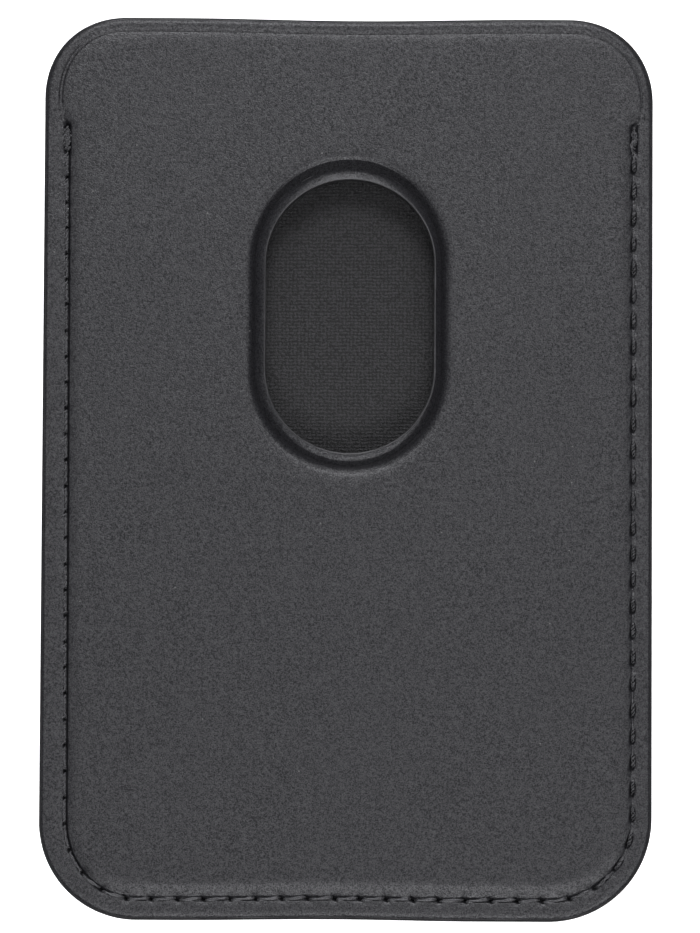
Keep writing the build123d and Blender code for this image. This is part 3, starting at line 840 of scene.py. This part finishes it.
class Nodes:
    """Small helper to write a node material."""

    def __init__(self, name, roughness, metallic=0.0, specular=0.5):
        self.mat = bpy.data.materials.new(name)
        self.mat.use_nodes = True
        self.tree = self.mat.node_tree
        self.bsdf = self.tree.nodes["Principled BSDF"]
        self.bsdf.inputs["Roughness"].default_value = roughness
        self.bsdf.inputs["Metallic"].default_value = metallic
        self.bsdf.inputs["Specular IOR Level"].default_value = specular
        self.coords = self.tree.nodes.new("ShaderNodeTexCoord").outputs["Object"]

    def add(self, kind):
        return self.tree.nodes.new(kind)

    def link(self, a, b):
        self.tree.links.new(a, b)

    def scaled(self, per_mm, stretch=(1, 1, 1)):
        """Object coordinates in which one unit is a feature, at per_mm features to the millimetre."""
        node = self.add("ShaderNodeMapping")
        node.inputs["Scale"].default_value = [per_mm * 1000 * k for k in stretch]
        self.link(self.coords, node.inputs["Vector"])
        return node.outputs["Vector"]

    def noise(self, per_mm, detail=2.0, rough=0.5, stretch=(1, 1, 1), distortion=0.0):
        node = self.add("ShaderNodeTexNoise")
        node.inputs["Scale"].default_value = 1.0
        node.inputs["Detail"].default_value = detail
        node.inputs["Roughness"].default_value = rough
        node.inputs["Distortion"].default_value = distortion
        self.link(self.scaled(per_mm, stretch), node.inputs["Vector"])
        return node.outputs["Fac"]

    def cells(self, per_mm):
        node = self.add("ShaderNodeTexVoronoi")
        node.inputs["Scale"].default_value = 1.0
        self.link(self.scaled(per_mm), node.inputs["Vector"])
        return node.outputs["Distance"]

    def math(self, op, a, b=None):
        node = self.add("ShaderNodeMath")
        node.operation = op
        for socket, value in zip(node.inputs, (a, b)):
            if value is None:
                continue
            if isinstance(value, (int, float)):
                socket.default_value = value
            else:
                self.link(value, socket)
        return node.outputs["Value"]

    def ramp(self, fac, low, high, to_low=0.0, to_high=1.0):
        node = self.add("ShaderNodeMapRange")
        node.interpolation_type = "SMOOTHSTEP"
        for key, value in (("From Min", low), ("From Max", high), ("To Min", to_low), ("To Max", to_high)):
            node.inputs[key].default_value = value
        self.link(fac, node.inputs["Value"])
        return node.outputs["Result"]

    def mix(self, fac, a, b):
        node = self.add("ShaderNodeMix")
        node.data_type = "RGBA"
        ins = [s for s in node.inputs if s.enabled]
        for socket, value in zip(ins, (fac, a, b)):
            if isinstance(value, (int, float)):
                socket.default_value = value
            elif isinstance(value, tuple):
                socket.default_value = (*value, 1.0)
            else:
                self.link(value, socket)
        return [s for s in node.outputs if s.enabled][0]

    def bump(self, height, distance_mm, strength=1.0, below=None):
        node = self.add("ShaderNodeBump")
        node.inputs["Strength"].default_value = strength
        node.inputs["Distance"].default_value = distance_mm * MM
        self.link(height, node.inputs["Height"])
        if below is not None:
            self.link(below, node.inputs["Normal"])
        return node.outputs["Normal"]

    def finish(self, colour, normal=None, roughness=None):
        self.link(colour, self.bsdf.inputs["Base Color"])
        if normal is not None:
            self.link(normal, self.bsdf.inputs["Normal"])
        if roughness is not None:
            self.link(roughness, self.bsdf.inputs["Roughness"])
        return self.mat


def leather_material():
    n = Nodes("charcoal_leather", 0.43)
    fine = n.noise(7.2, 1.0, 0.6)
    pebbles = n.noise(3.4, 1.0, 0.5, distortion=0.3)
    grain = n.math("ADD", n.math("MULTIPLY", pebbles, 0.35), n.math("MULTIPLY", fine, 0.65))
    patch = n.noise(0.06, 3.0, 0.5)
    base = n.mix(n.ramp(grain, 0.3, 0.7), (0.006, 0.006, 0.007), (0.017, 0.0169, 0.019))
    base = n.mix(n.ramp(patch, 0.3, 0.7, 0.0, 0.3), base, (0.0135, 0.0134, 0.015))
    specks = n.ramp(n.cells(0.32), 0.035, 0.02, 0.0, 0.55)
    base = n.mix(specks, base, (0.16, 0.155, 0.15))
    n.link(n.ramp(grain, 0.28, 0.72, 0.2, 0.8), n.bsdf.inputs["Specular IOR Level"])
    return n.finish(base, n.bump(grain, 0.048), n.ramp(grain, 0.3, 0.7, 0.46, 0.4))


def edge_paint_material():
    n = Nodes("edge_paint", 0.4, specular=0.6)
    drift = n.noise(0.8, 3.0, 0.5, stretch=(1, 1, 0.4))
    fine = n.noise(6.0)
    base = n.mix(n.ramp(drift, 0.3, 0.7), (0.015, 0.015, 0.016), (0.025, 0.0248, 0.026))
    normal = n.bump(fine, 0.01, 0.4, n.bump(drift, 0.03, 0.5))
    return n.finish(base, normal, n.ramp(drift, 0.3, 0.7, 0.36, 0.44))


def thread_material():
    n = Nodes("sewing_thread", 0.45)
    n.bsdf.inputs["Sheen Weight"].default_value = 0.2
    n.bsdf.inputs["Sheen Roughness"].default_value = 0.4
    fibre = n.noise(9.0, 2.0, 0.6)
    drift = n.noise(1.1, 1.0, 0.5)
    base = n.mix(n.ramp(fibre, 0.35, 0.7), (0.018, 0.018, 0.02), (0.085, 0.0845, 0.088))
    base = n.mix(n.ramp(drift, 0.4, 0.75, 0.0, 0.4), base, (0.11, 0.1095, 0.112))
    return n.finish(base, n.bump(fibre, 0.04, 0.8))


def cloth_material():
    n = Nodes("black_plain_weave", 0.7, specular=0.3)
    n.bsdf.inputs["Sheen Weight"].default_value = 0.15
    n.bsdf.inputs["Sheen Roughness"].default_value = 0.5
    sep = n.add("ShaderNodeSeparateXYZ")
    n.link(n.coords, sep.inputs["Vector"])

    def sway(field, amount):
        """A noise field brought to about zero and scaled."""
        return n.math("MULTIPLY", n.math("SUBTRACT", field, 0.5), amount)

    def count(axis, spacing, aside):
        """Position along an axis, in half turns per thread, with the threads' sway."""
        place = n.math("MULTIPLY", sep.outputs[axis], 1000 * math.pi / spacing)
        return n.math("ADD", place, n.math("ADD", drift, aside))

    drift = sway(n.noise(0.5, 3.0, 0.6), 3.0)
    x = count("X", 0.4, sway(n.noise(1.3, 1.0, 0.5, stretch=(1, 0.05, 1)), 2.2))
    y = count("Y", 0.36, sway(n.noise(1.3, 1.0, 0.5, stretch=(0.05, 1, 1)), 1.6))
    cx, cy = n.math("COSINE", x), n.math("COSINE", y)
    over = n.math("MULTIPLY", n.math("MULTIPLY", cx, cy), 0.42)
    upright = n.math("MULTIPLY", n.math("ABSOLUTE", cx), n.math("ADD", over, 0.45))
    across = n.math("MULTIPLY", n.math("ABSOLUTE", cy), n.math("SUBTRACT", 0.62, over))
    height = n.math("MAXIMUM", upright, across)
    relief_and_gap_shade = n.math("ADD", height, sway(n.noise(4.6, 3.0, 0.75), 3.8))
    # Painted shade: where the weave is low, in the gaps between the yarns, the colour is almost black. The
    # same field also drives the bump.
    base = n.mix(n.ramp(relief_and_gap_shade, 0.25, 0.95), (0.001, 0.001, 0.0011), (0.049, 0.0485, 0.0503))
    lint = n.ramp(n.cells(0.8), 0.06, 0.025, 0.0, 0.5)
    base = n.mix(lint, base, (0.1, 0.1, 0.105))
    return n.finish(base, n.bump(relief_and_gap_shade, 0.24))


def welt_material():
    n = Nodes("split_leather", 0.8, specular=0.3)
    fibre = n.noise(3.0, 4.0, 0.65, stretch=(1, 1, 3))
    base = n.mix(n.ramp(fibre, 0.3, 0.7), (0.02, 0.02, 0.021), (0.05, 0.049, 0.05))
    return n.finish(base, n.bump(fibre, 0.08, 0.8))


def board_material(name, dark, light, per_mm, roughness):
    n = Nodes(name, roughness, specular=0.3)
    fibre = n.noise(per_mm, 4.0, 0.6, stretch=(1, 0.4, 1))
    flecks = n.noise(per_mm * 3, 2.0, 0.6)
    base = n.mix(n.ramp(fibre, 0.3, 0.7), dark, light)
    base = n.mix(n.ramp(flecks, 0.55, 0.8, 0.0, 0.3), base, tuple(min(1, c * 1.5) for c in light))
    return n.finish(base, n.bump(fibre, 0.03, 0.5))


def film_material():
    n = Nodes("transfer_adhesive", 0.35)
    drift = n.noise(0.5, 3.0, 0.6)
    base = n.mix(n.ramp(drift, 0.3, 0.7), (0.62, 0.58, 0.48), (0.74, 0.71, 0.63))
    return n.finish(base, n.bump(drift, 0.02, 0.4))


def metal_material(name, dark, light, low_rough, high_rough, stretch=(0.2, 6, 6)):
    n = Nodes(name, 0.35, metallic=1.0)
    lines = n.noise(1.0, 3.0, 0.6, stretch=stretch)
    blotch = n.noise(0.25)
    base = n.mix(n.ramp(lines, 0.3, 0.7), dark, light)
    rough = n.ramp(blotch, 0.3, 0.7, low_rough, high_rough)
    return n.finish(base, n.bump(lines, 0.006, 0.4), rough)


leather = leather_material()
paint = edge_paint_material()
thread = thread_material()
cloth = cloth_material()
slot_materials = {
    "leather": leather,
    "edge_paint": paint,
    "thread": thread,
    "lining": cloth,
    "welt": welt_material(),
    "board": board_material("fibre_board", (0.16, 0.135, 0.105), (0.27, 0.235, 0.19), 1.6, 0.85),
    "carrier": board_material("moulded_carrier", (0.02, 0.02, 0.021), (0.034, 0.034, 0.036), 2.2, 0.6),
    "adhesive_film": film_material(),
    "shield": metal_material("rolled_foil", (0.42, 0.42, 0.44), (0.62, 0.62, 0.64), 0.28, 0.42),
    "yoke": metal_material("stamped_steel", (0.36, 0.36, 0.37), (0.52, 0.52, 0.54), 0.32, 0.5),
    "magnet": metal_material("nickel_plate", (0.5, 0.49, 0.47), (0.68, 0.66, 0.63), 0.18, 0.3, (3, 3, 3)),
}
coats = (seam_coat, back_mouth_coat, front_mouth_coat, thumb_coat)
dressed = ((leather, (back_leather, front_leather)), (paint, coats))
dressed += ((thread, (needle, bobbin)), (cloth, (front_lining, back_lining)))
for material, pieces in dressed:
    for made in pieces:
        made.data.materials.append(material)
for row in frame["record"]["subparts"]:
    node = frame["nodes"][row["node"]]
    node.data.materials.clear()
    node.data.materials.append(slot_materials[row["material_slot"]])

# ---------------------------------------------------------------- size and areas of the lining cut, and parenting to the root


def cut_area(loop):
    """Flat area inside a closed loop of points, in square millimetres."""
    x, y = loop[:, 0], loop[:, 1]
    return abs(np.dot(x, np.roll(y, -1)) - np.dot(y, np.roll(x, -1))) / 2


cloth_edge = rim.loop(COAT, 0.0)
cloth_size = (np.ptp(cloth_edge[:, 0]) * MM, np.ptp(cloth_edge[:, 1]) * MM)
whole_cut = cut_area(cloth_edge) * MM**2
holed_cut = whole_cut - cut_area(hole_loop(COAT, 0.0)) * MM**2

for made in (back_leather, front_leather, front_lining, back_lining, *coats, needle, bobbin):
    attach(made, "root")

# ---------------------------------------------------------------- floor, light and camera


def floor_material():
    n = Nodes("pale_floor", 0.9, specular=0.1)
    soft = n.noise(0.02)
    n.bsdf.inputs["Emission Color"].default_value = (1, 1, 1, 1)
    n.bsdf.inputs["Emission Strength"].default_value = 1.0
    return n.finish(n.mix(n.ramp(soft, 0.3, 0.7), (0.9, 0.9, 0.9), (0.92, 0.92, 0.92)))


floor_mesh = bpy.data.meshes.new("floor")
reach = 3.0
# A hair under the holder, so the two flat faces don't coincide.
below = -0.0001
corners = [(-reach, -reach, below), (reach, -reach, below), (reach, reach, below), (-reach, reach, below)]
floor_mesh.from_pydata(corners, [], [(0, 1, 2, 3)])
floor = bpy.data.objects.new("floor", floor_mesh)
bpy.context.scene.collection.objects.link(floor)
floor.data.materials.append(floor_material())
floor.visible_glossy = False

world = bpy.data.worlds.new("studio")
bpy.context.scene.world = world
world.use_nodes = True
sky = world.node_tree
background = sky.nodes["Background"]
where = sky.nodes.new("ShaderNodeTexCoord")
split = sky.nodes.new("ShaderNodeSeparateXYZ")
shift = sky.nodes.new("ShaderNodeMapRange")
shift.inputs["From Min"].default_value = -1.0
shades = sky.nodes.new("ShaderNodeValToRGB")
# Brightness from straight down to straight up: almost black, a little lighter round the horizon.
band_of_sky = ((0.0, 0.03), (0.49, 0.05), (0.55, 0.07), (0.7, 0.03), (1.0, 0.03))
while len(shades.color_ramp.elements) < len(band_of_sky):
    shades.color_ramp.elements.new(0.5)
for stop, (place, level) in zip(shades.color_ramp.elements, band_of_sky):
    stop.position = place
    stop.color = (level, level, 1.04 * level, 1)
sky.links.new(where.outputs["Generated"], split.inputs["Vector"])
sky.links.new(split.outputs["Z"], shift.inputs["Value"])
sky.links.new(shift.outputs["Result"], shades.inputs["Fac"])
sky.links.new(shades.outputs["Color"], background.inputs["Color"])
background.inputs["Strength"].default_value = 1.0


def softbox(name, place, watts):
    """Rectangular light at a place in metres, turned to the middle of the holder."""
    light = bpy.data.lights.new(name, "AREA")
    light.shape = "RECTANGLE"
    light.size, light.size_y = 0.5, 0.4
    light.energy = watts
    light.color = (1.0, 1.0, 1.04)
    lamp = bpy.data.objects.new(name, light)
    lamp.location = place
    lamp.rotation_euler = (-Vector(place)).to_track_quat("-Z", "Y").to_euler()
    lamp.visible_camera = False
    bpy.context.scene.collection.objects.link(lamp)


softbox("softbox_top", (0.0, 0.69, 0.98), 8.3)
softbox("softbox_top_low", (0.0, 1.09, 0.51), 3.4)
softbox("softbox_top_high", (0.0, 0.41, 1.13), 0.5)
softbox("softbox_bottom", (0.0, -0.69, 0.98), 5.3)
softbox("softbox_bottom_high", (0.0, -0.41, 1.13), 0.7)
softbox("softbox_bottom_right", (0.45, -0.53, 0.98), 2.3)
softbox("softbox_right", (0.69, 0.0, 0.98), 1.2)
softbox("softbox_left", (-0.69, 0.0, 0.98), 1.3)

# The camera looks almost straight down, from slightly below the middle, with a hint of roll.
DISTANCE, TILT, ROLL = 0.56, 3.6, 0.3
# Height of what the frame takes in at the holder.
VIEW_HEIGHT = 97.7885
target = Vector((0.0003, 0.0001, MARGIN_Z * MM))
tilt = math.radians(TILT)
camera_data = bpy.data.cameras.new("camera")
camera = bpy.data.objects.new("camera", camera_data)
bpy.context.scene.collection.objects.link(camera)
camera.location = target + DISTANCE * Vector((0, -math.sin(tilt), math.cos(tilt)))
camera.rotation_mode = "XYZ"
look = (target - camera.location).to_track_quat("-Z", "Y").to_matrix()
camera.rotation_euler = (look @ Matrix.Rotation(math.radians(ROLL), 3, "Z")).to_euler()
camera_data.sensor_width = 36
camera_data.lens = 36 * DISTANCE / (VIEW_HEIGHT * MM)
camera_data.clip_start, camera_data.clip_end = 0.01, 20
bpy.context.scene.camera = camera
bpy.context.scene.view_settings.view_transform = "Standard"
